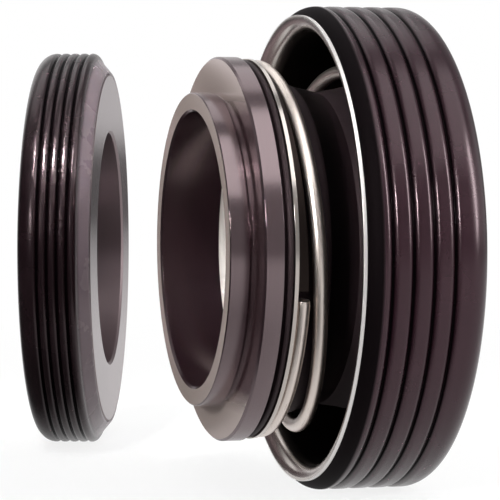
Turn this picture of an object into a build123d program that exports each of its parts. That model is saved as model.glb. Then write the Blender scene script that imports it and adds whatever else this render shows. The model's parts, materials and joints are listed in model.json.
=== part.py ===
from build123d import *
from math import atan2, cos, degrees, radians, sin
import os

# Mechanical face seal: a spring-loaded seal head in a ribbed cup, and the loose seat that it runs on.
# Millimetres. The head lies along X with its lapped nose towards -X, and the origin is the middle of
# the shaft bore in its neck. The seat stands on its rim beside the head, so both rims share one floor.

os.makedirs("parts", exist_ok=True)

# ---- driving dimensions ----

shaft_radius = 17.5
head_length = 32.3  # nose to cup back, with the spring relaxed

# face ring: lapped nose, flange, and a spigot inside the bellows
face_ring_gap = 1.9  # round the shaft
nose_wall = 2.65
nose_length = 3.4
nose_bevel = 0.3
relief_depth = 0.45  # turned into the nose where it meets the flange
relief_width = 0.7
flange_width = 2.7
flange_rise = 4.7  # above the spigot
flange_bevel = 0.3
spigot_wall = 3.0
spigot_length = 2.8

# steel insert that backs the face ring and keeps the bellows round
insert_step = 0.25  # its bore stands back from the bore of the face ring
insert_head_width = 1.5
insert_wall = 0.8
insert_length = 3.6

# rubber bellows
bellows_wall = 1.6
bellows_head_width = 1.55
bellows_head_step = 0.4  # below the rim of the flange
bellows_lead = 1.0  # from the insert to the first bend
bellows_fold_depth = 3.0
bellows_bend = 1.7  # bends of the wall, on its middle line
bellows_tail_length = 4.0
bellows_end_gap = 0.7  # the tail ends before the bend at the root of the neck
rubber_gap = 0.06  # between the bellows and what slides with the face ring

# spring plate, with the helical ramp that backs the end of the spring
plate_width = 2.74
plate_thickness = 0.55
ramp_height = 1.45
ramp_width = 1.9
ramp_start = 8  # clock angle in degrees
ramp_sweep = 92

# spring
wire_diameter = 2.0
wire_inset = 0.16  # from the rim of the plate
coil_waist = 0.55  # the open coil is this much tighter than the closed turn on the plate
spring_pitch = 14.8
lead_in_pitch = 9.4
lead_in_sweep = 100  # degrees between a closed turn and the open coil
tip_gap = 3.2  # degrees between the ramp's step and the end of the wire
ramp_foot_gap = 2.8  # degrees between the closed turn and the foot of the ramp
back_seat_sweep = 250  # degrees of closed turn on the floor of the cup

# cup, drawn from steel sheet
cup_wall = 0.8
cup_gap = 3.8  # round the flange of the face ring
cup_length = 17.2
cup_bend = 2.2  # bends of the sheet, on its middle line
neck_gap = 0.8  # round the shaft
neck_bend = 0.9
neck_bore_length = 5.1
lip_bend = 1.7
lip_width = 1.4  # the cut edge of the sheet stands this far out

# clamp band round the tail of the bellows
band_wall = 0.7
band_width = 2.4
band_setback = 0.8  # from the front end of the tail

# rubber jacket moulded on the cup
jacket_rise = 1.25  # above the lip
jacket_front_setback = 0.5  # behind the lip's face, so that part of the sheet's cut edge stays bare
jacket_shoulder = 2.7  # from the lip's face to the full radius
jacket_back_round = 2.9
jacket_back_drop = 1.8  # how far the back edge rounds down
jacket_first_groove = 3.75  # from the lip's face
jacket_groove_pitch = 2.87
jacket_groove_depth = 0.7
jacket_groove_floor = 0.4
jacket_groove_mouth = 1.3

# seat: hard ring in a ribbed rubber boot
seat_gap = 1.5  # round the shaft
seat_ring_wall = 9.75
seat_ring_thickness = 8.4
seat_ring_bevel = 0.35
boot_wall = 3.3
boot_length = 11.1
boot_front_setback = 0.1  # behind the lapped face
boot_front_rim = 0.3
boot_front_cone = 1.7
boot_shoulder = 0.95  # round between the cone and the ribs
boot_back_round = 2.6
boot_back_drop = 2.1
boot_back_step = 1.8  # its bore stands back from the bore of the ring
boot_first_groove = 3.35  # from the lapped face
boot_groove_pitch = 1.52
boot_groove_depth = 0.5
boot_groove_floor = 0.2
boot_groove_mouth = 1.0

# where the seat stands, beside the head and turned towards it
seat_beside_jacket = 28.85  # from the side of the jacket to the middle of the lapped face
seat_behind_nose = 1.5
seat_turn = -18.1  # degrees about the vertical

# ---- places that follow from the sizes ----

half_wall = cup_wall / 2
wire_radius = wire_diameter / 2

face_bore_radius = shaft_radius + face_ring_gap
nose_radius = face_bore_radius + nose_wall
spigot_radius = face_bore_radius + spigot_wall
flange_radius = spigot_radius + flange_rise
sleeve_inner_radius = spigot_radius + rubber_gap
sleeve_outer_radius = sleeve_inner_radius + bellows_wall
plate_inner_radius = sleeve_outer_radius + rubber_gap
plate_radius = plate_inner_radius + plate_width
spring_mean_radius = plate_radius - wire_inset - wire_radius
neck_inner_radius = shaft_radius + neck_gap
neck_outer_radius = neck_inner_radius + cup_wall
tail_outer_radius = neck_outer_radius + bellows_wall
cup_inner_radius = flange_radius + cup_gap
cup_outer_radius = cup_inner_radius + cup_wall
lip_radius = cup_outer_radius + lip_width
jacket_radius = lip_radius + jacket_rise

cup_back_x = neck_bore_length / 2 + neck_bend + half_wall
cup_floor_x = cup_back_x - cup_wall
lip_x = cup_back_x - cup_length
nose_x = cup_back_x - head_length
flange_x = nose_x + nose_length
flange_back_x = flange_x + flange_width
spigot_end_x = flange_back_x + spigot_length
insert_end_x = spigot_end_x + insert_length
plate_x = flange_back_x + bellows_head_width
plate_back_x = plate_x + plate_thickness


def clock_plane(x, clock):
    """Plane across the axis at x, whose own X axis points to that clock angle in degrees.

    The clock starts at the top and runs to -Y, so that a right-handed coil goes up it with X.
    """
    a = radians(clock)
    return Plane(origin=(x, 0, 0), x_dir=(0, -sin(a), cos(a)), z_dir=(1, 0, 0))


def section_plane(x, clock):
    """Plane through the axis, with its own X axis along it and its Y axis out at that clock angle."""
    a = radians(clock)
    return Plane(origin=(x, 0, 0), x_dir=(1, 0, 0), z_dir=(0, -cos(a), -sin(a)))


def coil_line(x, clock, sweep_angle, pitch, radius, widening=0):
    """Stretch of the spring's right-handed helix, which the ramp follows too. It widens by that much."""
    rise = pitch * sweep_angle / 360
    cone_angle = degrees(atan2(widening, rise))
    return clock_plane(x, clock) * Helix(pitch, rise, radius, cone_angle=cone_angle)


def groove_middles(first, pitch, mouth, end):
    """Middles of the grooves, at one pitch from the first, as many as fit before the end."""
    count = 1 + int((end - mouth / 2 - first) / pitch)
    return [first + i * pitch for i in range(count)]


# ---- face ring ----

with BuildPart() as face_ring:
    with BuildSketch(Plane.XZ):
        with BuildLine():
            Polyline(
                (nose_x, face_bore_radius + nose_bevel),
                (nose_x, nose_radius - nose_bevel / 2),
                (nose_x + nose_bevel / 2, nose_radius),
                (flange_x - relief_width, nose_radius),
                (flange_x - relief_width / 2, nose_radius - relief_depth),
                (flange_x, nose_radius - relief_depth),
                (flange_x, flange_radius - flange_bevel),
                (flange_x + flange_bevel, flange_radius),
                (flange_back_x, flange_radius),
                (flange_back_x, spigot_radius),
                (spigot_end_x, spigot_radius),
                (spigot_end_x, face_bore_radius),
                (nose_x + nose_bevel, face_bore_radius),
                close=True,
            )
        make_face()
    revolve(axis=Axis.X)
face_ring.part.label = "face_ring"

# ---- steel insert ----

insert_bore_radius = face_bore_radius + insert_step

with BuildPart() as insert_ring:
    with BuildSketch(Plane.XZ):
        with BuildLine():
            Polyline(
                (spigot_end_x, insert_bore_radius),
                (spigot_end_x, spigot_radius),
                (insert_end_x, spigot_radius),
                (insert_end_x, spigot_radius - insert_wall),
                (spigot_end_x + insert_head_width, spigot_radius - insert_wall),
                (spigot_end_x + insert_head_width, insert_bore_radius),
                close=True,
            )
        make_face()
    revolve(axis=Axis.X)
insert_ring.part.label = "insert_ring"

# ---- bellows ----

sleeve_middle_radius = (sleeve_inner_radius + sleeve_outer_radius) / 2
tail_middle_radius = (neck_outer_radius + tail_outer_radius) / 2
tail_end_x = cup_floor_x - bellows_end_gap
tail_x = tail_end_x - bellows_tail_length
fold_x = insert_end_x + bellows_lead
fold_step = (tail_x - fold_x) / 3
fold_bend = min(bellows_bend, 0.4 * fold_step)  # a bend this tight always fits its two slopes

with BuildPart() as bellows:
    with BuildSketch(Plane.XZ):
        with Locations((flange_back_x, sleeve_inner_radius)):
            head_rise = flange_radius - bellows_head_step - sleeve_inner_radius
            Rectangle(bellows_head_width, head_rise, align=Align.MIN)
        with BuildLine():
            FilletPolyline(
                (flange_back_x, sleeve_middle_radius),
                (fold_x, sleeve_middle_radius),
                (fold_x + fold_step, sleeve_middle_radius - bellows_fold_depth),
                (fold_x + 2 * fold_step, sleeve_middle_radius),
                (tail_x, tail_middle_radius),
                (tail_end_x, tail_middle_radius),
                radius=fold_bend,
            )
        trace(line_width=bellows_wall)
    revolve(axis=Axis.X)
bellows.part.label = "bellows"

# ---- spring plate ----

ramp_pitch = ramp_height * 360 / ramp_sweep
ramp_base_x = plate_back_x - ramp_height

with BuildPart() as ramp:
    # a strip as thick as the ramp is high winds up out of the plate, and is cut off flush with it
    with BuildSketch(section_plane(ramp_base_x, ramp_start)):
        with Locations((0, spring_mean_radius)):
            Rectangle(ramp_height, ramp_width, align=(Align.MIN, Align.CENTER))
    ramp_line = coil_line(ramp_base_x, ramp_start, ramp_sweep, ramp_pitch, spring_mean_radius)
    sweep(path=ramp_line, is_frenet=True)
    split(bisect_by=Plane(origin=(plate_back_x, 0, 0), z_dir=(1, 0, 0)), keep=Keep.TOP)

with BuildPart() as spring_plate:
    with BuildSketch(Plane.XZ):
        with Locations((plate_x, plate_inner_radius)):
            Rectangle(plate_thickness, plate_width, align=Align.MIN)
    revolve(axis=Axis.X)
    add(ramp.part)
spring_plate.part.label = "spring_plate"

# ---- spring ----

front_turn_x = plate_back_x + wire_radius
back_turn_x = cup_floor_x - wire_radius
lead_in_rise = lead_in_pitch * lead_in_sweep / 360
open_rise = back_turn_x - front_turn_x - 2 * lead_in_rise

# each stretch starts where the last one ends: its length in degrees, its pitch, and how much it widens
stretches = [
    (360 - ramp_sweep - tip_gap - ramp_foot_gap, 0, 0),
    (lead_in_sweep, lead_in_pitch, -coil_waist),
    (open_rise / spring_pitch * 360, spring_pitch, 0),
    (lead_in_sweep, lead_in_pitch, 0),
    (back_seat_sweep, 0, 0),
]

with BuildPart() as spring:
    wire_x = front_turn_x
    clock = ramp_start + ramp_sweep + tip_gap
    coil_radius = spring_mean_radius
    for sweep_angle, pitch, widening in stretches:
        with BuildSketch(section_plane(wire_x, clock)):
            with Locations((0, coil_radius)):
                Circle(wire_radius)
        if pitch:
            sweep(path=coil_line(wire_x, clock, sweep_angle, pitch, coil_radius, widening), is_frenet=True)
        else:
            revolve(axis=Axis.X, revolution_arc=sweep_angle)
        wire_x += pitch * sweep_angle / 360
        clock += sweep_angle
        coil_radius += widening
spring.part.label = "spring"
print("spring turns:", sum(stretch[0] for stretch in stretches) / 360)

# ---- cup ----

# the rubber under the lip bends with the sheet, so the bend fits the shorter leg of the two
lip_curve = min(lip_bend, half_wall + 0.95 * lip_width)

with BuildPart() as cup_shell:
    with BuildSketch(Plane.XZ):
        with BuildLine():
            FilletPolyline(
                (lip_x + half_wall, lip_radius),
                (lip_x + half_wall, cup_inner_radius + half_wall),
                (cup_back_x - half_wall, cup_inner_radius + half_wall),
                (cup_back_x - half_wall, neck_inner_radius + half_wall),
                (-neck_bore_length / 2, neck_inner_radius + half_wall),
                radius=[lip_curve, cup_bend, neck_bend],
            )
        trace(line_width=cup_wall)
    revolve(axis=Axis.X)
cup_shell.part.label = "cup_shell"

# ---- clamp band ----

with BuildPart() as tail_band:
    with BuildSketch(Plane.XZ):
        with Locations((tail_x + band_setback, tail_outer_radius)):
            Rectangle(band_width, band_wall, align=Align.MIN)
    revolve(axis=Axis.X)
tail_band.part.label = "tail_band"

# ---- cup jacket ----

cup_corner = cup_bend + half_wall

with BuildPart() as cup_jacket:
    with BuildSketch(Plane.XZ):
        with BuildLine():
            under_lip = FilletPolyline(
                (cup_back_x - cup_corner, cup_outer_radius),
                (lip_x + cup_wall, cup_outer_radius),
                (lip_x + cup_wall, lip_radius),
                radius=lip_curve - half_wall,
            )
            over_lip = Line(under_lip @ 1, (lip_x + jacket_front_setback, lip_radius))
            outer = Line(
                (lip_x + jacket_shoulder, jacket_radius), (cup_back_x - jacket_back_round, jacket_radius)
            )
            TangentArc(outer @ 0, over_lip @ 1, tangent=(-1, 0))
            back_edge = TangentArc(
                outer @ 1, (cup_back_x, jacket_radius - jacket_back_drop), tangent=(1, 0)
            )
            back = Line(back_edge @ 1, (cup_back_x, cup_outer_radius - cup_corner))
            TangentArc(under_lip @ 0, back @ 1, tangent=(1, 0))
        make_face()
        for middle in groove_middles(
            jacket_first_groove, jacket_groove_pitch, jacket_groove_mouth, cup_length - jacket_back_round
        ):
            with BuildLine():
                Polyline(
                    (lip_x + middle - jacket_groove_mouth / 2, jacket_radius),
                    (lip_x + middle - jacket_groove_floor / 2, jacket_radius - jacket_groove_depth),
                    (lip_x + middle + jacket_groove_floor / 2, jacket_radius - jacket_groove_depth),
                    (lip_x + middle + jacket_groove_mouth / 2, jacket_radius),
                    close=True,
                )
            make_face(mode=Mode.SUBTRACT)
    revolve(axis=Axis.X)
cup_jacket.part.label = "cup_jacket"

# ---- seat ----

seat_bore_radius = shaft_radius + seat_gap
seat_ring_radius = seat_bore_radius + seat_ring_wall
boot_radius = seat_ring_radius + boot_wall
boot_bore_radius = seat_bore_radius + boot_back_step
seat_middle = Vector(
    nose_x + seat_behind_nose, jacket_radius + seat_beside_jacket, boot_radius - jacket_radius
)
seat_facing = Vector(cos(radians(seat_turn)), sin(radians(seat_turn)), 0)
seat_axis = Axis(seat_middle, seat_facing)
seat_section = Plane(seat_middle, x_dir=seat_facing, z_dir=seat_facing.cross(Vector(0, 0, 1)))
print("seat: middle of the lapped face", seat_middle, "facing", seat_facing)

with BuildPart() as seat_ring:
    with BuildSketch(seat_section):
        with Locations((0, seat_bore_radius)):
            Rectangle(seat_ring_thickness, seat_ring_wall, align=(Align.MAX, Align.MIN))
        chamfer(vertices().group_by(Axis.X)[-1], seat_ring_bevel)
    revolve(axis=seat_axis)
seat_ring.part.label = "seat_ring"

with BuildPart() as seat_boot:
    with BuildSketch(seat_section):
        with BuildLine():
            cone_end_s = -boot_front_setback - boot_front_cone
            shoulder_end_s = cone_end_s - boot_shoulder
            outer = Line((shoulder_end_s, boot_radius), (boot_back_round - boot_length, boot_radius))
            shoulder = TangentArc(outer @ 0, (cone_end_s, boot_radius - boot_shoulder), tangent=(1, 0))
            back_edge = TangentArc(outer @ 1, (-boot_length, boot_radius - boot_back_drop), tangent=(-1, 0))
            Polyline(
                shoulder @ 1,
                (-boot_front_setback, seat_ring_radius + boot_front_rim),
                (-boot_front_setback, seat_ring_radius),
                (-seat_ring_thickness, seat_ring_radius),
                (-seat_ring_thickness, boot_bore_radius),
                (-boot_length, boot_bore_radius),
                back_edge @ 1,
            )
        make_face()
        for middle in groove_middles(
            boot_first_groove, boot_groove_pitch, boot_groove_mouth, boot_length - boot_back_round
        ):
            with BuildLine():
                Polyline(
                    (-middle - boot_groove_mouth / 2, boot_radius),
                    (-middle - boot_groove_floor / 2, boot_radius - boot_groove_depth),
                    (-middle + boot_groove_floor / 2, boot_radius - boot_groove_depth),
                    (-middle + boot_groove_mouth / 2, boot_radius),
                    close=True,
                )
            make_face(mode=Mode.SUBTRACT)
    revolve(axis=seat_axis)
seat_boot.part.label = "seat_boot"

# ---- one file for each piece ----

for piece in (
    face_ring,
    insert_ring,
    bellows,
    spring_plate,
    spring,
    cup_shell,
    tail_band,
    cup_jacket,
    seat_ring,
    seat_boot,
):
    export_step(piece.part, f"parts/{piece.part.label}.step")
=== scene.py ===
import json
import math

import bmesh
import bpy
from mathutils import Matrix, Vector


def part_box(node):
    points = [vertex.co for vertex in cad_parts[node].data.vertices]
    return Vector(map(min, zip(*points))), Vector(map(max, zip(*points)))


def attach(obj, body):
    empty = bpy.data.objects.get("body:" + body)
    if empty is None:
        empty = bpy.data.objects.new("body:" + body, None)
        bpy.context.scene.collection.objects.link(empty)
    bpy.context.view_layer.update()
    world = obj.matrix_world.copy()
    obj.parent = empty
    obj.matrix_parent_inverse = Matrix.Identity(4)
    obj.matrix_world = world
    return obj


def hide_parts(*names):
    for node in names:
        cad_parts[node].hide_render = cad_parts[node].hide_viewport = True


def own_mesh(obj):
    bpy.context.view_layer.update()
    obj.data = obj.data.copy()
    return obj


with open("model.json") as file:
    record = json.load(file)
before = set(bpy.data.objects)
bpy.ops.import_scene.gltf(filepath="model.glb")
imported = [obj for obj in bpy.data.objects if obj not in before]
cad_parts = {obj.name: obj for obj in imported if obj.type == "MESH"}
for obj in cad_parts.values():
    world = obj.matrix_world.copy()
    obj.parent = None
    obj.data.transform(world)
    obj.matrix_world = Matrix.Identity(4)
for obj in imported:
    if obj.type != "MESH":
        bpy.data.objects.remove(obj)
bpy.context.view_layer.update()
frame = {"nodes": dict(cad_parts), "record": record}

print("frame loaded,", len(frame["nodes"]), "pieces")

mm = 0.001
scene = bpy.context.scene
white = (1, 1, 1, 1)


def hexColour(code):
    # sRGB hex to the linear colour that the sockets take
    channels = [int(code[i : i + 2], 16) / 255 for i in (1, 3, 5)]
    return [c / 12.92 if c <= 0.04045 else ((c + 0.055) / 1.055) ** 2.4 for c in channels] + [1.0]


def grey(tone):
    return (tone, tone, tone, 1)


def addNode(tree, kind, links=None, **settings):
    # one node with its settings; a link is a value, a socket, or a node whose first output is
    # meant. A socket goes by its number where that is shorter or its name is not the only one: a
    # Mix node has its share at 0 and mixes numbers 2 and 3 or colours 6 and 7, a Map Range turns 1
    # to 2 into 3 to 4
    node = tree.nodes.new(kind)
    for name, value in settings.items():
        setattr(node, name, value)
    for socket, source in (links or {}).items():
        if isinstance(source, bpy.types.Node):
            source = source.outputs[0]
        if isinstance(source, bpy.types.NodeSocket):
            tree.links.new(source, node.inputs[socket])
        else:
            node.inputs[socket].default_value = source
    return node


def newFinish(name):
    finish = bpy.data.materials.new(name)
    finish.use_nodes = True
    finish.node_tree.nodes.clear()
    return finish


# ---- camera ----

cameraSetup = {
    "lens": 180.0,  # mm
    "sensor": 36,  # mm
    "clip": (0.01, 20),  # m
    "azimuth": -14.87,  # degrees, 0 looks along +Y
    "elevation": 2.4,
    "distance": 352.5 * mm,  # to the middle of the nose
    "noseLeft": 8.29 * mm,  # of the middle of the picture
    "noseUp": 0.10 * mm,
}
noseMiddle = Vector((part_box("face_ring")[0].x, 0, 0))

turn, tilt = math.radians(cameraSetup["azimuth"]), math.radians(cameraSetup["elevation"])
lookBack = Vector(
    (math.sin(turn) * math.cos(tilt), -math.cos(turn) * math.cos(tilt), math.sin(tilt))
)
lookRight = Vector((math.cos(turn), math.sin(turn), 0))
lookUp = lookBack.cross(lookRight)
cameraData = bpy.data.cameras.new("productCamera")
cameraData.lens = cameraSetup["lens"]
cameraData.sensor_width = cameraSetup["sensor"]
cameraData.clip_start, cameraData.clip_end = cameraSetup["clip"]
camera = bpy.data.objects.new("productCamera", cameraData)
scene.collection.objects.link(camera)
aim = noseMiddle + lookRight * cameraSetup["noseLeft"] - lookUp * cameraSetup["noseUp"]
camera.location = aim + lookBack * cameraSetup["distance"]
camera.rotation_mode = "QUATERNION"
camera.rotation_quaternion = lookBack.to_track_quat("Z", "Y")
scene.camera = camera
scene.view_settings.view_transform = "Standard"

# ---- studio ----

# What a polished surface finds round it, by compass degrees (0 is +X, 90 is +Y): white paper behind
# the object, a dark room before it, paper on the floor and a soft ceiling over all.
studio = {
    "wallTones": [
        (-180, 0.02), (-110, 0.02), (-92, 0.10), (-75, 0.30), (-45, 0.6), (-15, 0.95), (18, 0.9),
        (35, 0.3), (52, 0.3), (66, 0.8), (95, 1.0), (110, 0.95), (119, 0.06), (180, 0.02),
    ],
    "floorTones": [
        (-180, 0.03), (-122, 0.03), (-104, 0.36), (-92, 0.65), (-75, 0.85), (-50, 0.85), (0, 0.9),
        (60, 0.9), (110, 0.8), (124, 0.06), (180, 0.03),
    ],
    "floorNear": 0.9,  # right under the object
    "floorNearEnd": (0.030, 0.060),  # m from the seal's middle
    "floorFade": (0.28, 1.3),  # m, where the floor gets dark towards the horizon
    "floorFar": 0.12,
    "horizon": (-0.3, 0.4),  # degrees of elevation over which the walls come up out of the dark
    "ceiling": (16, 40),  # degrees of elevation over which it takes over from the walls
    "ceilingTone": 0.28,
    "softLight": 0.42,
    "floorHalf": 4.0,  # m
    "floorColour": "#F4F4F4",
    "floorShadow": 0.16,  # share of the paper that shows its own shading, near the object
    "shadowEnd": (0.10, 0.32),  # m
    "openBeam": 180,  # degrees, of a lamp without a grid
    # place, aim, width and height in m; watts; a grid holds the beam to that angle in degrees
    "lamps": {
        "seatStrip": {
            "place": (-0.26, -0.29, 0.60),
            "aim": (-0.035, 0.063, 0.02),
            "size": (0.10, 0.07),
            "watts": 0.034,
            "grid": 7,
        },
        "jacketStrip": {
            "place": (-0.42, -0.48, 0.22),
            "aim": (0.022, -0.03, 0.01),
            "size": (0.16, 0.36),
            "watts": 0.15,
            "grid": 7.5,
        },
        "rightStrip": {"place": (0.46, -0.36, 0.25), "size": (0.10, 0.40), "watts": 2.8},
        "frontTop": {"place": (0.10, -0.30, 0.62), "size": (1.0, 0.62), "watts": 3.1},
        "backTop": {"place": (-0.10, 0.42, 0.70), "size": (0.80, 0.50), "watts": 1.2},
    },
}
sealMiddle = Vector((-0.010, 0.0, 0.0))


def compassTone(tree, direction, tones):
    # the tone that the studio has in that compass direction, and the direction's parts
    parts = addNode(tree, "ShaderNodeSeparateXYZ", {0: direction})
    compass = addNode(
        tree, "ShaderNodeMath", {0: parts.outputs["Y"], 1: parts.outputs["X"]}, operation="ARCTAN2"
    )
    share = addNode(
        tree, "ShaderNodeMath", {0: compass, 1: 0.5 / math.pi, 2: 0.5}, operation="MULTIPLY_ADD"
    )
    ramp = addNode(tree, "ShaderNodeValToRGB", {0: share})
    stops = ramp.color_ramp.elements
    while len(stops) < len(tones):
        stops.new(0.5)
    for stop, (degrees, tone) in zip(stops, tones):
        stop.position = degrees / 360 + 0.5
        stop.color = grey(tone)
    return ramp, parts


world = bpy.data.worlds.new("whiteStudio")
world.use_nodes = True
scene.world = world
tree = world.node_tree
tree.nodes.clear()
rays = addNode(tree, "ShaderNodeLightPath")
direction = addNode(tree, "ShaderNodeTexCoord").outputs["Generated"]
walls, parts = compassTone(tree, direction, studio["wallTones"])
start, full = [math.sin(math.radians(degrees)) for degrees in studio["ceiling"]]
ceiling = addNode(
    tree,
    "ShaderNodeMapRange",
    {0: parts.outputs["Z"], 1: start, 2: full},
    interpolation_type="SMOOTHSTEP",
)
around = addNode(
    tree, "ShaderNodeMix", {0: ceiling, 6: walls, 7: grey(studio["ceilingTone"])}, data_type="RGBA"
)
start, full = [math.sin(math.radians(degrees)) for degrees in studio["horizon"]]
risen = addNode(
    tree, "ShaderNodeMapRange", {0: parts.outputs["Z"], 1: start, 2: full, 3: studio["floorFar"]}
)
mirrored = addNode(tree, "ShaderNodeBackground", {"Color": around.outputs[2], "Strength": risen})
softLight = addNode(tree, "ShaderNodeBackground", {"Color": white, "Strength": studio["softLight"]})
backdrop = addNode(tree, "ShaderNodeBackground", {"Color": white, "Strength": 1.0})
lit = addNode(
    tree, "ShaderNodeMixShader", {0: rays.outputs["Is Glossy Ray"], 1: softLight, 2: mirrored}
)
seen = addNode(
    tree,
    "ShaderNodeMath",
    {0: rays.outputs["Is Camera Ray"], 1: rays.outputs["Is Transmission Ray"]},
    operation="MAXIMUM",
)
sky = addNode(tree, "ShaderNodeMixShader", {0: seen, 1: lit, 2: backdrop})
addNode(tree, "ShaderNodeOutputWorld", {"Surface": sky})

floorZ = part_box("cup_jacket")[0].z
half = studio["floorHalf"]
floorMesh = bpy.data.meshes.new("studioFloor")
floorMesh.from_pydata(
    [(-half, -half, floorZ), (half, -half, floorZ), (half, half, floorZ), (-half, half, floorZ)],
    [],
    [(0, 1, 2, 3)],
)
floor = bpy.data.objects.new("studioFloor", floorMesh)
scene.collection.objects.link(floor)
paper = newFinish("matWhitePaper")  # even white without gloss, which keeps a soft shadow
tree = paper.node_tree
rays = addNode(tree, "ShaderNodeLightPath")
geometry = addNode(tree, "ShaderNodeNewGeometry")
matt = addNode(tree, "ShaderNodeBsdfDiffuse", {"Color": hexColour(studio["floorColour"])})
bright = addNode(tree, "ShaderNodeEmission", {"Color": white, "Strength": 1.0})
outward = addNode(
    tree,
    "ShaderNodeVectorMath",
    {0: geometry.outputs["Position"], 1: sealMiddle},
    operation="SUBTRACT",
)
distance = addNode(tree, "ShaderNodeVectorMath", {0: outward}, operation="LENGTH").outputs["Value"]
start, end = studio["shadowEnd"]
shade = addNode(
    tree, "ShaderNodeMapRange", {0: distance, 1: start, 2: end, 3: studio["floorShadow"], 4: 0.0}
)
shown = addNode(tree, "ShaderNodeMixShader", {0: shade, 1: bright, 2: matt})
start, end = studio["floorNearEnd"]
off = addNode(tree, "ShaderNodeMapRange", {0: distance, 1: start, 2: end})
beyond, parts = compassTone(tree, outward, studio["floorTones"])
floorTone = addNode(
    tree, "ShaderNodeMix", {0: off, 6: grey(studio["floorNear"]), 7: beyond}, data_type="RGBA"
)
start, end = studio["floorFade"]
fade = addNode(
    tree, "ShaderNodeMapRange", {0: distance, 1: start, 2: end, 3: 1.0, 4: studio["floorFar"]}
)
mirrored = addNode(tree, "ShaderNodeEmission", {"Color": floorTone.outputs[2], "Strength": fade})
lit = addNode(tree, "ShaderNodeMixShader", {0: rays.outputs["Is Glossy Ray"], 1: matt, 2: mirrored})
upper = addNode(tree, "ShaderNodeMixShader", {0: rays.outputs["Is Camera Ray"], 1: lit, 2: shown})
clear = addNode(tree, "ShaderNodeBsdfTransparent")
oneSided = addNode(
    tree, "ShaderNodeMixShader", {0: geometry.outputs["Backfacing"], 1: upper, 2: clear}
)
addNode(tree, "ShaderNodeOutputMaterial", {"Surface": oneSided})
floorMesh.materials.append(paper)

for name, given in studio["lamps"].items():
    lampData = bpy.data.lights.new(name, "AREA")
    lampData.shape = "RECTANGLE"
    lampData.size, lampData.size_y = given["size"]
    lampData.energy = given["watts"]
    lampData.spread = math.radians(given.get("grid", studio["openBeam"]))
    lamp = bpy.data.objects.new(name, lampData)
    scene.collection.objects.link(lamp)
    lamp.location = given["place"]
    backwards = lamp.location - Vector(given.get("aim", sealMiddle))
    lamp.rotation_euler = backwards.to_track_quat("Z", "Y").to_euler()
    lamp.visible_camera = False
print("camera, floor and lamps made")

# ---- finishes ----

edgeSamples = 6  # rays that the finish rounds a sharp edge with

# nitrile rubber: near black with a satin mould skin, its grain too fine to see but enough to soften
# its highlights
rubberSettings = {
    # the clean skin, and where it has a little bloom; the jacket's pair is a lighter, warmer copy
    # of the same rubber, as painted light
    "tones": {"fresh": ("#0D0608", "#1B0F13"), "paintedLight": ("#1A0B11", "#25131A")},
    "bloomSize": 7.0 * mm,
    "roughness": {"satin": (0.22, 0.32), "dull": (0.55, 0.7)},
    "roughnessShare": (0.3, 0.8),  # of the bloom, where the roughness starts and ends to rise
    "ior": 1.5,
    "shine": 0.5,
    "highlight": "#FFE4EA",
    # painted shade, near black, in the grooves and on the shoulder behind the lip, where the bare
    # mould skin is also rougher and less shiny
    "rubberShade": "#040203",
    "unpolishedRoughness": 0.65,
    "unpolishedShine": 0.06,
    "grooveShare": (0.25, 0.6),  # of a groove's depth, over which the painted shade and the duller skin come in
    "shoulderShare": 0.86,  # of the shoulder's width, from where the painted shade and the duller skin give way
    "trimmed": "#6A5E63",  # greyer where the flash was ground off, and lighter still as a painted reflection on the front cone
    "trimmedShare": (0.8, 1.1),  # of the trimmed width, over which the grey ends
    "grainSize": 0.22 * mm,
    "grainDepth": 0.0014 * mm,
    "rippleSize": 3.5 * mm,
    "rippleDepth": 0.005 * mm,
}


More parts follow.
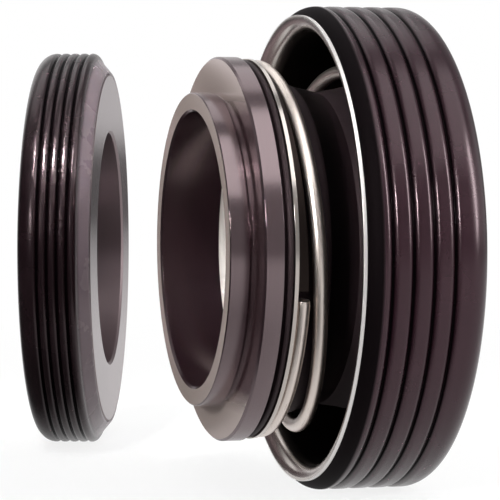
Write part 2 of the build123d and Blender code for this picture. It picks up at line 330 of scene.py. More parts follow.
def rubberFinish(name, skinKind, toneKind, front=None, behind=None, trimmed=None, shoulder=None):
    # a ribbed piece gives its front and the direction behind it; trimmed and shoulder are how far
    # behind the front its grey ground rim, partly painted reflection, or its painted-shade shoulder
    # ends, where it has one
    finish = newFinish(name)
    tree = finish.node_tree
    place = addNode(tree, "ShaderNodeTexCoord").outputs["Object"]
    bloom, grain, ripple = [
        addNode(
            tree,
            "ShaderNodeTexNoise",
            {"Vector": place, "Scale": 1 / rubberSettings[size], "Detail": detail},
        )
        for size, detail in (("bloomSize", 4.0), ("grainSize", 2.0), ("rippleSize", 1.0))
    ]
    clean, bloomed = [hexColour(code) for code in rubberSettings["tones"][toneKind]]
    tint = addNode(
        tree, "ShaderNodeMix", {0: bloom, 6: clean, 7: bloomed}, data_type="RGBA"
    ).outputs[2]
    start, end = rubberSettings["roughnessShare"]
    low, high = rubberSettings["roughness"][skinKind]
    skin = addNode(tree, "ShaderNodeMapRange", {0: bloom, 1: start, 2: end, 3: low, 4: high})
    shine = rubberSettings["shine"]
    rubberShade = hexColour(rubberSettings["rubberShade"])
    bareShine = rubberSettings["unpolishedShine"]
    if front is not None:
        # painted shade: the grooves go near black, and duller, by their depth
        groove = addNode(tree, "ShaderNodeAttribute", attribute_name="grooveDepth").outputs["Fac"]
        start, end = rubberSettings["grooveShare"]
        bareAndShaded = addNode(tree, "ShaderNodeMapRange", {0: groove, 1: start, 2: end})
        tint = addNode(
            tree, "ShaderNodeMix", {0: bareAndShaded, 6: tint, 7: rubberShade}, data_type="RGBA"
        ).outputs[2]
        shine = addNode(tree, "ShaderNodeMapRange", {0: bareAndShaded, 3: shine, 4: bareShine})
        fromFront = addNode(
            tree, "ShaderNodeVectorMath", {0: place, 1: front}, operation="SUBTRACT"
        )
        depth = addNode(
            tree, "ShaderNodeVectorMath", {0: fromFront, 1: behind}, operation="DOT_PRODUCT"
        ).outputs["Value"]
    # painted shade: the shoulder behind the lip goes near black, and duller
    if shoulder:
        start = rubberSettings["shoulderShare"] * shoulder
        bareAndShaded = addNode(
            tree, "ShaderNodeMapRange", {0: depth, 1: start, 2: shoulder, 3: 1.0, 4: 0.0}
        )
        tint = addNode(
            tree, "ShaderNodeMix", {0: bareAndShaded, 6: tint, 7: rubberShade}, data_type="RGBA"
        ).outputs[2]
        skin = addNode(
            tree, "ShaderNodeMix", {0: bareAndShaded, 2: skin, 3: rubberSettings["unpolishedRoughness"]}
        )
        shine = addNode(tree, "ShaderNodeMix", {0: bareAndShaded, 2: shine, 3: bareShine})
    # a grey front cone: the ground-off flash, partly a painted reflection
    if trimmed:
        start, end = [share * trimmed for share in rubberSettings["trimmedShare"]]
        rim = addNode(tree, "ShaderNodeMapRange", {0: depth, 1: start, 2: end, 3: 1.0, 4: 0.0})
        ground = hexColour(rubberSettings["trimmed"])
        tint = addNode(
            tree, "ShaderNodeMix", {0: rim, 6: tint, 7: ground}, data_type="RGBA"
        ).outputs[2]
    wavy = addNode(
        tree, "ShaderNodeBump", {"Height": ripple, "Distance": rubberSettings["rippleDepth"]}
    )
    grained = addNode(
        tree,
        "ShaderNodeBump",
        {"Height": grain, "Distance": rubberSettings["grainDepth"], "Normal": wavy},
    )
    shader = addNode(
        tree,
        "ShaderNodeBsdfPrincipled",
        {
            "Base Color": tint,
            "Roughness": skin,
            "IOR": rubberSettings["ior"],
            "Specular IOR Level": shine,
            "Specular Tint": hexColour(rubberSettings["highlight"]),
            "Normal": grained,
        },
    )
    addNode(tree, "ShaderNodeOutputMaterial", {"Surface": shader})
    return finish


def radiusFromAxis(tree, parts):
    # how far a place with those parts lies from the head's axis
    flat = addNode(tree, "ShaderNodeCombineXYZ", {"Y": parts.outputs["Y"], "Z": parts.outputs["Z"]})
    return addNode(tree, "ShaderNodeVectorMath", {0: flat}, operation="LENGTH").outputs["Value"]


# silicon carbide: ground and polished dark round the rings, lapped to a lighter, softer grey on
# their end faces
ringSettings = {
    "ground": "#1C0F13",
    "groundRoughness": {"face": 0.16, "seat": 0.34},
    "lapped": {"face": "#928680", "seat": "#4A4244"},
    "lappedRoughness": 0.11,
    "lappedFacing": (0.93, 0.97),  # cosine of the angle from the lapped face's own direction
    "grainRoughness": 0.08,
    "ior": 2.65,
    "shine": 0.5,
    "highlight": "#FFE6EA",
    "paintedDark": "#2C2022",  # painted dark reflection, across the middle of the flange beside the nose
    "paintedDarkFrom": 0.5 * mm,  # behind the nose
    "paintedDarkEdge": (18.5 * mm, 22 * mm),  # above and below the axis
    "boreWithin": 19.5 * mm,  # of the axis
    "boreShine": 0.3,  # as the bore is ground without a polish
    "edge": 0.06 * mm,
    "grindLine": 0.09 * mm,
    "grindDepth": 0.0006 * mm,
    "grainSize": 0.35 * mm,
}


def ringFinish(name, which, facing, noseEnd=None):
    # facing is the lapped face's direction; noseEnd is how far along it the face ring's nose ends,
    # as that ring has a painted dark reflection across the middle of the flange behind the nose,
    # and a duller bore
    finish = newFinish(name)
    tree = finish.node_tree
    coordinates = addNode(tree, "ShaderNodeTexCoord").outputs
    place = coordinates["Object"]
    towards, depth = [
        addNode(
            tree, "ShaderNodeVectorMath", {0: vector, 1: facing}, operation="DOT_PRODUCT"
        ).outputs["Value"]
        for vector in (coordinates["Normal"], place)
    ]
    start, full = ringSettings["lappedFacing"]
    lapped = addNode(tree, "ShaderNodeMapRange", {0: towards, 1: start, 2: full})
    lines = addNode(
        tree,
        "ShaderNodeTexNoise",
        {"W": depth, "Scale": 1 / ringSettings["grindLine"], "Detail": 3.0},
        noise_dimensions="1D",
    )
    grain = addNode(
        tree,
        "ShaderNodeTexNoise",
        {"Vector": place, "Scale": 1 / ringSettings["grainSize"], "Detail": 4.0},
    )
    tint = hexColour(ringSettings["lapped"][which])
    shine = ringSettings["shine"]
    # painted reflection: the flange's lapped face is darker in a band through the middle, paler
    # above and below
    if noseEnd:
        parts = addNode(tree, "ShaderNodeSeparateXYZ", {0: place})
        height = addNode(tree, "ShaderNodeMath", {0: parts.outputs["Z"]}, operation="ABSOLUTE")
        start, end = ringSettings["paintedDarkEdge"]
        beside = addNode(tree, "ShaderNodeMapRange", {0: height, 1: start, 2: end, 3: 1.0, 4: 0.0})
        paintedDarkEnd = noseEnd - ringSettings["paintedDarkFrom"]
        behind = addNode(tree, "ShaderNodeMath", {0: depth, 1: paintedDarkEnd}, operation="LESS_THAN")
        paintedDark = addNode(tree, "ShaderNodeMath", {0: beside, 1: behind}, operation="MULTIPLY")
        darkReflection = hexColour(ringSettings["paintedDark"])
        tint = addNode(
            tree, "ShaderNodeMix", {0: paintedDark, 6: tint, 7: darkReflection}, data_type="RGBA"
        ).outputs[2]
        inBore = addNode(
            tree,
            "ShaderNodeMath",
            {0: radiusFromAxis(tree, parts), 1: ringSettings["boreWithin"]},
            operation="LESS_THAN",
        )
        shine = addNode(tree, "ShaderNodeMix", {0: inBore, 2: shine, 3: ringSettings["boreShine"]})
    dark = hexColour(ringSettings["ground"])
    colour = addNode(tree, "ShaderNodeMix", {0: lapped, 6: dark, 7: tint}, data_type="RGBA")
    low, high = ringSettings["groundRoughness"][which], ringSettings["lappedRoughness"]
    base = addNode(tree, "ShaderNodeMapRange", {0: lapped, 3: low, 4: high})
    spread = ringSettings["grainRoughness"]
    worn = addNode(tree, "ShaderNodeMath", {0: grain, 1: spread, 2: base}, operation="MULTIPLY_ADD")
    rounded = addNode(
        tree, "ShaderNodeBevel", {"Radius": ringSettings["edge"]}, samples=edgeSamples
    )
    ground = addNode(
        tree,
        "ShaderNodeBump",
        {"Height": lines, "Distance": ringSettings["grindDepth"], "Normal": rounded},
    )
    shader = addNode(
        tree,
        "ShaderNodeBsdfPrincipled",
        {
            "Base Color": colour.outputs[2],
            "Roughness": worn,
            "IOR": ringSettings["ior"],
            "Specular IOR Level": shine,
            "Specular Tint": hexColour(ringSettings["highlight"]),
            "Normal": ground,
        },
    )
    addNode(tree, "ShaderNodeOutputMaterial", {"Surface": shader})
    return finish


# stainless steel: drawn sheet is bright, with fine lines round it and a paler, rougher sheared
# edge; what is turned is a pale satin; painted shade darkens the inside of the cup and the plate's
# ramp
sheetSettings = {
    "drawn": "#CFC6C0",
    "drawnRoughness": 0.2,
    "satin": "#F6F0EA",
    "satinRoughness": 0.6,
    "sheared": "#F2EEEC",
    "shearedRoughness": 0.5,
    "shearedDepth": 0.15 * mm,  # inside the lip's edge
    "paintedShade": "#2B2422",  # painted shade, dark inside the cup and on the plate's ramp
    "paintedShadeRoughness": 0.42,
    "cupShade": (0.9 * mm, 3.2 * mm),  # behind the lip, over which the painted shade comes up
    "cupShadeEnd": 0.1 * mm,  # before the cup's back
    "plateShade": (0, 0.1 * mm),  # behind the plate's flat back, which leaves the painted shade on the ramp alone
    "smudgeSize": 4 * mm,
    "smudgeRoughness": 0.12,  # between the cleanest place and the dullest
    "lineSize": 0.16 * mm,
    "lineDepth": 0.0016 * mm,
    "edge": 0.08 * mm,
}


def sheetFinish(name, kind="drawn", sheared=None, paintedDark=None, paintedDarkEnd=None):
    # sheared is the radius outside which the sheet's cut edge lies; the last two give from where to
    # where along the axis the painted shade comes up, and where it stops
    finish = newFinish(name)
    tree = finish.node_tree
    place = addNode(tree, "ShaderNodeTexCoord").outputs["Object"]
    parts = addNode(tree, "ShaderNodeSeparateXYZ", {0: place})
    along = parts.outputs["X"]
    radius = radiusFromAxis(tree, parts)
    ringPlace = addNode(tree, "ShaderNodeCombineXYZ", {"X": along, "Y": radius})
    lines, smudge = [
        addNode(
            tree,
            "ShaderNodeTexNoise",
            {"Vector": vector, "Scale": 1 / sheetSettings[size], "Detail": 3.0},
        )
        for vector, size in ((ringPlace, "lineSize"), (place, "smudgeSize"))
    ]
    rounded = addNode(
        tree, "ShaderNodeBevel", {"Radius": sheetSettings["edge"]}, samples=edgeSamples
    )
    drawn = addNode(
        tree,
        "ShaderNodeBump",
        {"Height": lines, "Distance": sheetSettings["lineDepth"], "Normal": rounded},
    )
    colour = hexColour(sheetSettings[kind])
    spread = sheetSettings["smudgeRoughness"]
    cleanest = sheetSettings[kind + "Roughness"] - spread / 2
    roughness = addNode(
        tree, "ShaderNodeMath", {0: smudge, 1: spread, 2: cleanest}, operation="MULTIPLY_ADD"
    )
    covers = {}  # the share of each other look
    if sheared:
        covers["sheared"] = addNode(
            tree, "ShaderNodeMath", {0: radius, 1: sheared}, operation="GREATER_THAN"
        )
    # painted shade along the axis
    if paintedDark:
        covers["paintedShade"] = addNode(tree, "ShaderNodeMapRange", {0: along, 1: paintedDark[0], 2: paintedDark[1]})
    if paintedDarkEnd:
        before = addNode(tree, "ShaderNodeMath", {0: along, 1: paintedDarkEnd}, operation="LESS_THAN")
        covers["paintedShade"] = addNode(
            tree, "ShaderNodeMath", {0: covers["paintedShade"], 1: before}, operation="MULTIPLY"
        )
    for look, share in covers.items():
        other = hexColour(sheetSettings[look])
        colour = addNode(
            tree, "ShaderNodeMix", {0: share, 6: colour, 7: other}, data_type="RGBA"
        ).outputs[2]
        rough = sheetSettings[look + "Roughness"]
        roughness = addNode(tree, "ShaderNodeMix", {0: share, 2: roughness, 3: rough})
    shader = addNode(
        tree,
        "ShaderNodeBsdfPrincipled",
        {"Base Color": colour, "Metallic": 1.0, "Roughness": roughness, "Normal": drawn},
    )
    addNode(tree, "ShaderNodeOutputMaterial", {"Surface": shader})
    return finish


# drawn spring wire: bright, with dark hairlines along it from the die
wireSettings = {
    "colour": "#F0E4DC",
    "hairline": "#6A5D59",
    "roughness": 0.36,
    "hairlineSize": 0.12 * mm,
    "hairlineLength": 4 * mm,
    "hairlineShare": (0.62, 0.74),  # of the noise, from where a hairline starts to its darkest
    "hairlineDepth": 0.004 * mm,
}
wire = newFinish("stainlessWireDrawn")
tree = wire.node_tree
roundPlace = addNode(tree, "ShaderNodeAttribute", attribute_name="wireRound").outputs["Vector"]
lengthPlace = addNode(tree, "ShaderNodeAttribute", attribute_name="wireLength").outputs["Fac"]
roundScaled = addNode(
    tree,
    "ShaderNodeVectorMath",
    {0: roundPlace, "Scale": 1 / wireSettings["hairlineSize"]},
    operation="SCALE",
)
lengthScaled = addNode(
    tree,
    "ShaderNodeMath",
    {0: lengthPlace, 1: 1 / wireSettings["hairlineLength"]},
    operation="MULTIPLY",
)
streakPlace = addNode(tree, "ShaderNodeCombineXYZ", {"Z": lengthScaled})
streaks = addNode(tree, "ShaderNodeVectorMath", {0: roundScaled, 1: streakPlace}, operation="ADD")
lines = addNode(tree, "ShaderNodeTexNoise", {"Vector": streaks, "Scale": 1.0, "Detail": 3.0})
start, end = wireSettings["hairlineShare"]
dark = addNode(tree, "ShaderNodeMapRange", {0: lines, 1: start, 2: end})
bright, hairline = hexColour(wireSettings["colour"]), hexColour(wireSettings["hairline"])
colour = addNode(tree, "ShaderNodeMix", {0: dark, 6: bright, 7: hairline}, data_type="RGBA")
drawn = addNode(
    tree, "ShaderNodeBump", {"Height": lines, "Distance": wireSettings["hairlineDepth"]}
)
shader = addNode(
    tree,
    "ShaderNodeBsdfPrincipled",
    {
        "Base Color": colour.outputs[2],
        "Metallic": 1.0,
        "Roughness": wireSettings["roughness"],
        "Normal": drawn,
    },
)
addNode(tree, "ShaderNodeOutputMaterial", {"Surface": shader})
print("finishes made")

# ---- turned and moulded pieces ----


def tangentArc(start, end, heading, steps):
    # points after the start of the arc that leaves it along heading (-1 or 1 along the axis) and
    # ends at end
    across, up = end[0] - start[0], end[1] - start[1]
    radius = (across**2 + up**2) / (2 * up)
    sweep = 2 * math.atan2(abs(up), heading * across)
    return [
        (
            start[0] + heading * abs(radius) * math.sin(sweep * i / steps),
            start[1] + radius * (1 - math.cos(sweep * i / steps)),
        )
        for i in range(1, steps + 1)
    ]


def straight(start, end, step):
    # points after the start, at about one step, up to the end
    count = max(1, round(math.dist(start, end) / step))
    return [tuple(a + (b - a) * i / count for a, b in zip(start, end)) for i in range(1, count + 1)]


turnSegments = 320  # round each turned piece


def turnedPiece(name, outline, front, behind):
    # the closed outline holds (distance behind the front, radius) in millimetres
    up = Vector((0, 0, 1))
    side = behind.cross(up)
    points, faces, count = [], [], len(outline)
    for k in range(turnSegments):
        clock = 2 * math.pi * k / turnSegments
        out = up * math.cos(clock) + side * math.sin(clock)
        points += [front + behind * (back * mm) + out * (radius * mm) for back, radius in outline]
        nextRing = (k + 1) % turnSegments
        this, other = k * count, nextRing * count
        for i in range(count):
            after = (i + 1) % count
            faces.append((this + i, this + after, other + after, other + i))
    mesh = bpy.data.meshes.new(name)
    mesh.from_pydata(points, [], faces)
    work = bmesh.new()
    work.from_mesh(mesh)
    bmesh.ops.recalc_face_normals(work, faces=work.faces)
    work.to_mesh(mesh)
    work.free()
    mesh.shade_smooth()
    piece = bpy.data.objects.new(name, mesh)
    scene.collection.objects.link(piece)
    return piece


def newTree(name, inputs):
    # a geometry tree with its named inputs, each with its kind
    tree = bpy.data.node_groups.new(name, "GeometryNodeTree")
    tree.interface.new_socket("Geometry", in_out="INPUT", socket_type="NodeSocketGeometry")
    tree.interface.new_socket("Geometry", in_out="OUTPUT", socket_type="NodeSocketGeometry")
    for label, kind in inputs.items():
        tree.interface.new_socket(label, in_out="INPUT", socket_type="NodeSocket" + kind)
    return tree, addNode(tree, "NodeGroupInput").outputs


def applyTree(piece, tree, values):
    # runs the tree on the piece with those inputs and keeps the result as a plain mesh
    modifier = piece.modifiers.new(tree.name, "NODES")
    modifier.node_group = tree
    for item in tree.interface.items_tree:
        if item.in_out == "INPUT" and item.name in values:
            modifier[item.identifier] = values[item.name]
    evaluated = piece.evaluated_get(bpy.context.evaluated_depsgraph_get())
    mesh = bpy.data.meshes.new_from_object(evaluated)
    piece.modifiers.remove(modifier)
    piece.data = mesh
    mesh.name = piece.name


# ribs moulded round a turned piece: sharp grooves at one pitch, with rounded mouths
ribs, given = newTree(
    "mouldedRibs",
    {
        "Front": "Vector",
        "Behind": "Vector",
        "From Radius": "Float",
        "First": "Float",
        "Pitch": "Float",
        "Count": "Int",
        "Depth": "Float",
        "Mouth": "Float",
        "Roundness": "Float",
        "Finish": "Material",
    },
)
# how far each point lies behind the front, and which way is out from the axis there
place = addNode(ribs, "GeometryNodeInputPosition")
spot = addNode(ribs, "ShaderNodeVectorMath", {0: place, 1: given["Front"]}, operation="SUBTRACT")
depth = addNode(
    ribs, "ShaderNodeVectorMath", {0: spot, 1: given["Behind"]}, operation="DOT_PRODUCT"
).outputs["Value"]
onAxis = addNode(
    ribs, "ShaderNodeVectorMath", {0: given["Behind"], "Scale": depth}, operation="SCALE"
)
out = addNode(ribs, "ShaderNodeVectorMath", {0: spot, 1: onAxis}, operation="SUBTRACT")
radius = addNode(ribs, "ShaderNodeVectorMath", {0: out}, operation="LENGTH").outputs["Value"]
# its distance from the nearest groove's middle
fromFirst = addNode(ribs, "ShaderNodeMath", {0: depth, 1: given["First"]}, operation="SUBTRACT")
inPitches = addNode(ribs, "ShaderNodeMath", {0: fromFirst, 1: given["Pitch"]}, operation="DIVIDE")
nearest = addNode(ribs, "ShaderNodeMath", {0: inPitches}, operation="ROUND")
lastGroove = addNode(ribs, "ShaderNodeMath", {0: given["Count"], 1: 1.0}, operation="SUBTRACT")
groove = addNode(ribs, "ShaderNodeClamp", {"Value": nearest, "Min": 0.0, "Max": lastGroove})
beside = addNode(ribs, "ShaderNodeMath", {0: inPitches, 1: groove}, operation="SUBTRACT")
offset = addNode(ribs, "ShaderNodeMath", {0: beside, 1: given["Pitch"]}, operation="MULTIPLY")
away = addNode(ribs, "ShaderNodeMath", {0: offset}, operation="ABSOLUTE")
# the groove's depth there, which the rubber's finish reads to paint shade into the groove, before
# the points move
halfMouth = addNode(ribs, "ShaderNodeMath", {0: given["Mouth"], 1: 0.5}, operation="MULTIPLY")
near = addNode(ribs, "ShaderNodeMapRange", {0: away, 1: 0.0, 2: halfMouth, 3: 1.0, 4: 0.0})
eased = addNode(ribs, "ShaderNodeMath", {0: near, 1: given["Roundness"]}, operation="POWER")
sunk = addNode(ribs, "ShaderNodeMath", {0: eased, 1: given["Depth"]}, operation="MULTIPLY")
inward = addNode(ribs, "ShaderNodeMath", {0: sunk, 1: -1.0}, operation="MULTIPLY")
outUnit = addNode(ribs, "ShaderNodeVectorMath", {0: out}, operation="NORMALIZE")
move = addNode(ribs, "ShaderNodeVectorMath", {0: outUnit, "Scale": inward}, operation="SCALE")
onRim = addNode(
    ribs, "FunctionNodeCompare", {0: radius, 1: given["From Radius"]}, operation="GREATER_THAN"
)
ribbed = addNode(
    ribs,
    "GeometryNodeStoreNamedAttribute",
    {"Geometry": given["Geometry"], "Selection": onRim, "Name": "grooveDepth", "Value": eased},
    data_type="FLOAT",
    domain="POINT",
)
ribbed = addNode(
    ribs, "GeometryNodeSetPosition", {"Geometry": ribbed, "Selection": onRim, "Offset": move}
)
ribbed = addNode(ribs, "GeometryNodeRealizeInstances", {"Geometry": ribbed})
ribbed = addNode(ribs, "GeometryNodeSetMaterial", {"Geometry": ribbed, "Material": given["Finish"]})
addNode(ribs, "NodeGroupOutput", {"Geometry": ribbed})

ribSkin = 0.02  # mm, how far under the rim the points may lie that the grooves move


def mouldRibs(piece, shape, front, behind, finish):
    # the grooves that the shape gives, cut round the piece
    values = {name: value * mm for name, value in shape["ribs"].items()}
    values["From Radius"] = (shape["radius"] - ribSkin) * mm
    values["Count"], values["Roundness"] = shape["ribCount"], shape["ribRoundness"]
    values.update({"Front": front, "Behind": behind, "Finish": finish})
    applyTree(piece, ribs, values)


def rimLine(shape, foot, land, landEnd, backEdge):
    # from the shoulder's foot up to the rim, along its land, and round down to the back's edge
    steps = shape["steps"]
    line = [foot] + tangentArc(land, foot, -1, steps["shoulder"])[-2::-1] + [land]
    line += straight(land, landEnd, steps["land"])
    return line + tangentArc(landEnd, backEdge, 1, steps["backRound"])


plusX = Vector((1, 0, 0))
shellLow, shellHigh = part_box("cup_shell")
lipPlace = Vector((shellLow.x, 0, 0))
cupLength = (shellHigh.x - shellLow.x) / mm
lipRadius = shellHigh.z / mm

# shapes are in millimetres; an arc's steps are a count, and a straight run's are a length
jacketShape = {
    "radius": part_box("cup_jacket")[1].z / mm,
    "sheet": 0.8,
    "setback": 0.5,  # of the rubber from the lip's face
    "shoulder": 2.7,
    "lipBend": 1.3,
    "lipWidth": 1.4,
    "backRound": 2.9,
    "backDrop": 1.8,
    "cupCorner": 2.6,
    "ribs": {"First": 3.75, "Pitch": 2.87, "Depth": 0.7, "Mouth": 2.0},
    "ribRoundness": 2.6,
    "ribCount": 4,
    "steps": {
        "shoulder": 14,
        "land": 0.08,
        "backRound": 16,
        "back": 0.8,
        "corner": 8,
        "wall": 2.0,
        "lipBend": 6,
    },
}
steps = jacketShape["steps"]
sheet, lipBend, cupCorner = [jacketShape[name] for name in ("sheet", "lipBend", "cupCorner")]
cupRadius = lipRadius - jacketShape["lipWidth"]
backEdge = (cupLength, jacketShape["radius"] - jacketShape["backDrop"])
cornerEnd = (cupLength, cupRadius - cupCorner)
wallEnd = (cupLength - cupCorner, cupRadius)
underLip = (sheet + lipBend, cupRadius)
outline = rimLine(
    jacketShape,
    (jacketShape["setback"], lipRadius),
    (jacketShape["shoulder"], jacketShape["radius"]),
    (cupLength - jacketShape["backRound"], jacketShape["radius"]),
    backEdge,
)
outline += straight(backEdge, cornerEnd, steps["back"])
outline += tangentArc(wallEnd, cornerEnd, 1, steps["corner"])[-2::-1] + [wallEnd]
outline += straight(wallEnd, underLip, steps["wall"])
outline += tangentArc(underLip, (sheet, cupRadius + lipBend), -1, steps["lipBend"])
outline += [(sheet, lipRadius)]
jacket = turnedPiece("jacketMoulded", outline, lipPlace, plusX)
# the jacket takes the lighter copy of the rubber, as painted light, with painted shade in its
# grooves and on its shoulder
mouldedRubber = rubberFinish(
    "nitrileRubberMoulded", "satin", "paintedLight", lipPlace, plusX, shoulder=jacketShape["shoulder"] * mm
)
mouldRibs(jacket, jacketShape, lipPlace, plusX, mouldedRubber)
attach(jacket, "cup")
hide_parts("cup_jacket")
print("cup jacket made,", len(jacket.data.polygons), "faces")

mounts = {mount["name"]: mount for mount in frame["record"]["mounts"]}
bootShape = {
    "radius": mounts["seat_fit"]["dims"]["r_mm"],
    "length": 11.1,
    "setback": 0.1,
    "ringRadius": 28.75,
    "ringThickness": 8.4,
    "rim": 0.3,
    "cone": 1.7,
    "shoulder": 0.95,
    "backRound": 2.6,
    "backDrop": 2.1,
    "bore": 20.8,
    "ribs": {"First": 3.35, "Pitch": 1.52, "Depth": 0.5, "Mouth": 1.2},
    "ribRoundness": 1.7,
    "ribCount": 4,
    "steps": {"cone": 0.25, "shoulder": 10, "land": 0.05, "backRound": 16, "back": 1.0},
}
steps = bootShape["steps"]
seatBehind = Vector(mounts["seat_fit"]["axis"]).normalized()
seatMiddle = Vector(mounts["seat_bore"]["pos_m"])
seatFront = seatMiddle - seatBehind * (bootShape["ringThickness"] / 2 * mm)
trimmedEnd = bootShape["setback"] + bootShape["cone"]
coneEnd = (trimmedEnd, bootShape["radius"] - bootShape["shoulder"])
backEdge = (bootShape["length"], bootShape["radius"] - bootShape["backDrop"])
rimEdge = (bootShape["setback"], bootShape["ringRadius"] + bootShape["rim"])
outline = [(bootShape["setback"], bootShape["ringRadius"]), rimEdge]
outline += straight(rimEdge, coneEnd, steps["cone"])[:-1]
outline += rimLine(
    bootShape,
    coneEnd,
    (coneEnd[0] + bootShape["shoulder"], bootShape["radius"]),
    (bootShape["length"] - bootShape["backRound"], bootShape["radius"]),
    backEdge,
)
outline += straight(backEdge, (bootShape["length"], bootShape["bore"]), steps["back"])
outline += [(bootShape["ringThickness"], bootShape[edge]) for edge in ("bore", "ringRadius")]
boot = turnedPiece("bootMoulded", outline, seatFront, seatBehind)
trimmedRubber = rubberFinish(
    "nitrileRubberTrimmed", "satin", "fresh", seatFront, seatBehind, trimmed=trimmedEnd * mm
)
mouldRibs(boot, bootShape, seatFront, seatBehind, trimmedRubber)
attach(boot, "cup")
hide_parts("seat_boot")
print("seat boot made,", len(boot.data.polygons), "faces")

# one coil spring with closed ends: a line wound by angle, with a round wire swept along it
coil, given = newTree(
    "closedEndSpring",
    {
        "Front": "Vector",
        "Start Clock": "Float",
        "Front Closed": "Float",
        "Open Start": "Float",
        "Open End": "Float",
        "Back Closed": "Float",
        "Wound": "Float",
        "Lead Rise": "Float",
        "Open Rise": "Float",
        "Easing": "Int",
        "Coil Radius": "Float",
        "Waist": "Float",
        "Wire Radius": "Float",
        "Tip Bevel": "Float",
        "Steps": "Int",
        "Sides": "Int",
        "Finish": "Material",
    },
)
# the angle wound at each point, and the height that it has risen to
line = addNode(coil, "GeometryNodeCurvePrimitiveLine")
line = addNode(
    coil, "GeometryNodeResampleCurve", {"Curve": line, "Count": given["Steps"]}, mode="COUNT"
)
share = addNode(coil, "GeometryNodeSplineParameter").outputs["Factor"]
turned = addNode(coil, "ShaderNodeMath", {0: share, 1: given["Wound"]}, operation="MULTIPLY")
rise = 0.0
for start, end, height in (
    ("Front Closed", "Open Start", "Lead Rise"),
    ("Open Start", "Open End", "Open Rise"),
    ("Open End", "Back Closed", "Lead Rise"),
):
    stretch = addNode(
        coil, "ShaderNodeMapRange", {0: turned, 1: given[start], 2: given[end], 4: given[height]}
    )
    rise = addNode(coil, "ShaderNodeMath", {0: rise, 1: stretch}, operation="ADD")
narrowing = addNode(
    coil,
    "ShaderNodeMapRange",
    {0: turned, 1: given["Front Closed"], 2: given["Open Start"], 4: given["Waist"]},
)
coilRadius = addNode(
    coil, "ShaderNodeMath", {0: given["Coil Radius"], 1: narrowing}, operation="SUBTRACT"
)
# height and radius, eased where the pitch changes
sharp = addNode(coil, "ShaderNodeCombineXYZ", {"X": rise, "Y": coilRadius})
eased = addNode(
    coil,
    "GeometryNodeBlurAttribute",
    {"Value": sharp, "Iterations": given["Easing"]},
    data_type="FLOAT_VECTOR",
)
eased = addNode(coil, "ShaderNodeSeparateXYZ", {0: eased})
# the place on the coil, from the top towards -Y
clock = addNode(coil, "ShaderNodeMath", {0: turned, 1: given["Start Clock"]}, operation="ADD")
sine = addNode(coil, "ShaderNodeMath", {0: clock}, operation="SINE")
cosine = addNode(coil, "ShaderNodeMath", {0: clock}, operation="COSINE")
minusRadius = addNode(
    coil, "ShaderNodeMath", {0: eased.outputs["Y"], 1: -1.0}, operation="MULTIPLY"
)
sideways = addNode(coil, "ShaderNodeMath", {0: sine, 1: minusRadius}, operation="MULTIPLY")
upward = addNode(coil, "ShaderNodeMath", {0: cosine, 1: eased.outputs["Y"]}, operation="MULTIPLY")
spot = addNode(coil, "ShaderNodeCombineXYZ", {"X": eased.outputs["X"], "Y": sideways, "Z": upward})
spot = addNode(coil, "ShaderNodeVectorMath", {0: spot, 1: given["Front"]}, operation="ADD")
line = addNode(coil, "GeometryNodeSetPosition", {"Geometry": line, "Position": spot})
# the wire thins to a small bevel at both of its ends
length = addNode(coil, "GeometryNodeSplineLength").outputs["Length"]
along = addNode(coil, "GeometryNodeSplineParameter").outputs["Length"]
line = addNode(
    coil,
    "GeometryNodeStoreNamedAttribute",
    {"Geometry": line, "Name": "wireLength", "Value": along},
    data_type="FLOAT",
    domain="POINT",
)
toEnd = addNode(coil, "ShaderNodeMath", {0: length, 1: along}, operation="SUBTRACT")
fromTip = addNode(coil, "ShaderNodeMath", {0: along, 1: toEnd}, operation="MINIMUM")
bevel = addNode(
    coil, "ShaderNodeMapRange", {0: fromTip, 2: given["Tip Bevel"], 3: given["Tip Bevel"], 4: 0.0}
)
taken = addNode(coil, "ShaderNodeMath", {0: bevel, 1: given["Wire Radius"]}, operation="DIVIDE")
thickness = addNode(coil, "ShaderNodeMath", {0: 1.0, 1: taken}, operation="SUBTRACT")
section = addNode(
    coil,
    "GeometryNodeCurvePrimitiveCircle",
    {"Resolution": given["Sides"], "Radius": given["Wire Radius"]},
    mode="RADIUS",
)
section = addNode(
    coil,
    "GeometryNodeStoreNamedAttribute",
    {"Geometry": section, "Name": "wireRound", "Value": addNode(coil, "GeometryNodeInputPosition")},
    data_type="FLOAT_VECTOR",
    domain="POINT",
)
wound = addNode(
    coil,
    "GeometryNodeCurveToMesh",
    {"Curve": line, "Profile Curve": section, "Scale": thickness, "Fill Caps": True},
)
wound = addNode(coil, "GeometryNodeRealizeInstances", {"Geometry": wound})
wound = addNode(coil, "GeometryNodeSetMaterial", {"Geometry": wound, "Material": given["Finish"]})
addNode(coil, "NodeGroupOutput", {"Geometry": wound})

springShape = {
    "wire": 2.0,
    "outerRadius": 26.7,  # of the closed turn on the plate
    "waist": 0.55,  # the open coil is this much tighter
    "startClock": 103.2,  # degrees from the top, towards -Y
    "frontClosed": 262.0,  # degrees
    "leadIn": 100.0,  # degrees, at either end of the open coil
    "leadPitch": 9.4,
    "openPitch": 14.8,
    "backClosed": 250.0,
    "easing": 24,  # rounds of smoothing where the pitch changes
    "tipBevel": 0.12,
    "stepsPerTurn": 300,
    "sides": 28,
}
springLow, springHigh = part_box("spring")
leadIn, wireRadius = springShape["leadIn"], springShape["wire"] / 2
leadRise = springShape["leadPitch"] * leadIn / 360
openRise = (springHigh.x - springLow.x) / mm - springShape["wire"] - 2 * leadRise
openTurn = 360 * openRise / springShape["openPitch"]
angles = [springShape["frontClosed"], leadIn, openTurn, leadIn, springShape["backClosed"]]
ends = [math.radians(sum(angles[: i + 1])) for i in range(len(angles))]
spring = bpy.data.objects.new("springWound", bpy.data.meshes.new("springWound"))
scene.collection.objects.link(spring)
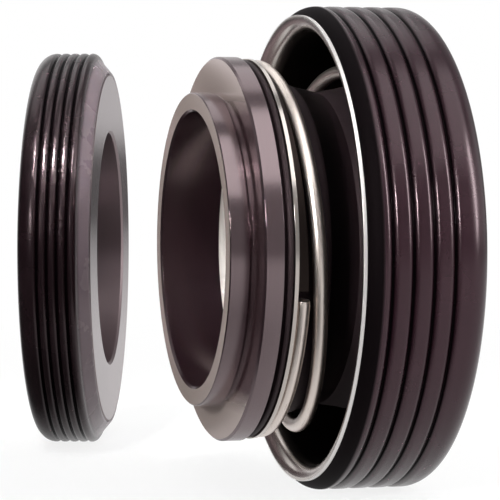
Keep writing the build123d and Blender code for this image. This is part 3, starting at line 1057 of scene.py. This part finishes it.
applyTree(
    spring,
    coil,
    {
        "Front": Vector((springLow.x + wireRadius * mm, 0, 0)),
        "Start Clock": math.radians(springShape["startClock"]),
        "Front Closed": ends[0],
        "Open Start": ends[1],
        "Open End": ends[2],
        "Back Closed": ends[3],
        "Wound": ends[4],
        "Lead Rise": leadRise * mm,
        "Open Rise": openRise * mm,
        "Easing": springShape["easing"],
        "Coil Radius": (springShape["outerRadius"] - wireRadius) * mm,
        "Waist": springShape["waist"] * mm,
        "Wire Radius": wireRadius * mm,
        "Tip Bevel": springShape["tipBevel"] * mm,
        "Steps": round(ends[4] / (2 * math.pi) * springShape["stepsPerTurn"]),
        "Sides": springShape["sides"],
        "Finish": wire,
    },
)
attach(spring, "cup")
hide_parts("spring")
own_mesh(spring)
print("spring wound,", len(spring.data.polygons), "faces")

bellowsShape = {
    "headRadius": 26.7,
    "headWidth": 1.55,
    "recess": 0.6,  # between the flange and the bead round the head
    "recessDepth": 0.9,
    "beadDrop": 0.55,  # beside the plate
    "sleeve": 22.46,
    "wall": 1.6,
    "foldStart": 7.4,
    "foldDepth": 3.0,
    "tail": 4.0,
    "tailRadius": 19.1,
    "bend": 1.7,
    "bendShare": 0.4,  # of a fold's step, the most that a bend takes
    "bendSteps": 6,
    "beadStep": 15,  # degrees
}


def bentLine(corners, radius, steps):
    # the corners joined by straight runs, with an arc of that radius at each inner one
    points = [corners[0]]
    for before, corner, after in zip(corners, corners[1:], corners[2:]):
        corner = Vector(corner)
        back, ahead = [(Vector(other) - corner).normalized() for other in (before, after)]
        half = back.angle(ahead) / 2
        centre = corner + (back + ahead).normalized() * (radius / math.sin(half))
        reach = radius / math.tan(half)
        start, end = [corner + way * reach - centre for way in (back, ahead)]
        points += [tuple(centre + start.slerp(end, i / steps)) for i in range(steps + 1)]
    return points + [corners[-1]]


bellowsLow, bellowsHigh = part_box("bellows")
bellowsPlace = Vector((bellowsLow.x, 0, 0))
bellowsLength = (bellowsHigh.x - bellowsLow.x) / mm
halfWall = bellowsShape["wall"] / 2
sleeve, foldStart = bellowsShape["sleeve"] + halfWall, bellowsShape["foldStart"]
tailRadius, tailStart = bellowsShape["tailRadius"] + halfWall, bellowsLength - bellowsShape["tail"]
foldStep = (tailStart - foldStart) / 3
middleLine = bentLine(
    [
        (0, sleeve),
        (foldStart, sleeve),
        (foldStart + foldStep, sleeve - bellowsShape["foldDepth"]),
        (foldStart + 2 * foldStep, sleeve),
        (tailStart, tailRadius),
        (bellowsLength, tailRadius),
    ],
    min(bellowsShape["bend"], bellowsShape["bendShare"] * foldStep),
    bellowsShape["bendSteps"],
)
inner, outer = [], []
for k, point in enumerate(middleLine):
    after, before = middleLine[min(k + 1, len(middleLine) - 1)], middleLine[max(k - 1, 0)]
    heading = Vector(after) - Vector(before)
    aside = heading.orthogonal().normalized() * halfWall
    inner.append(tuple(Vector(point) - aside))
    outer.append(tuple(Vector(point) + aside))
if inner[0][1] > outer[0][1]:
    inner, outer = outer, inner
recess, headWidth, beadDrop = [bellowsShape[name] for name in ("recess", "headWidth", "beadDrop")]
beadMiddle, beadHalf = (recess + headWidth) / 2, (headWidth - recess) / 2
beadFoot = bellowsShape["headRadius"] - beadDrop
head = [(headWidth, bellowsShape["sleeve"] + bellowsShape["wall"]), (headWidth, beadFoot)]
for degrees in range(bellowsShape["beadStep"], 180, bellowsShape["beadStep"]):
    swing = math.radians(degrees)
    head.append((beadMiddle + beadHalf * math.cos(swing), beadFoot + beadDrop * math.sin(swing)))
recessRadius = bellowsShape["headRadius"] - bellowsShape["recessDepth"]
head += [(recess, recessRadius), (0, recessRadius)]
bellows = turnedPiece("bellowsMoulded", inner + outer[:0:-1] + head, bellowsPlace, plusX)
bellows.data.materials.append(rubberFinish("nitrileRubberDull", "dull", "fresh"))
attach(bellows, "cup")
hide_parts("bellows")
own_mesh(bellows)
print("bellows made")

# ---- finishes of the pieces that stay ----

sheared = lipRadius * mm - sheetSettings["shearedDepth"]
# painted shade inside the cup behind the lip, and on the plate's ramp
cupShade = [shellLow.x + reach for reach in sheetSettings["cupShade"]]
plateShade = [springLow.x + reach for reach in sheetSettings["plateShade"]]
stays = {
    "face_ring": ringFinish("siliconCarbideFace", "face", (-1, 0, 0), noseEnd=-noseMiddle.x),
    "seat_ring": ringFinish("siliconCarbideSeat", "seat", tuple(-seatBehind)),
    "cup_shell": sheetFinish(
        "stainlessSheetCup",
        sheared=sheared,
        paintedDark=cupShade,
        paintedDarkEnd=shellHigh.x - sheetSettings["cupShadeEnd"],
    ),
    "spring_plate": sheetFinish("stainlessSheetCoined", paintedDark=plateShade),
    "insert_ring": sheetFinish("stainlessTurned", "satin"),
    "tail_band": sheetFinish("stainlessSheetDrawn"),
}
for node, finish in stays.items():
    piece = frame["nodes"][node]
    piece.data.materials.clear()
    piece.data.materials.append(finish)
print("finishes set on the pieces that stay")
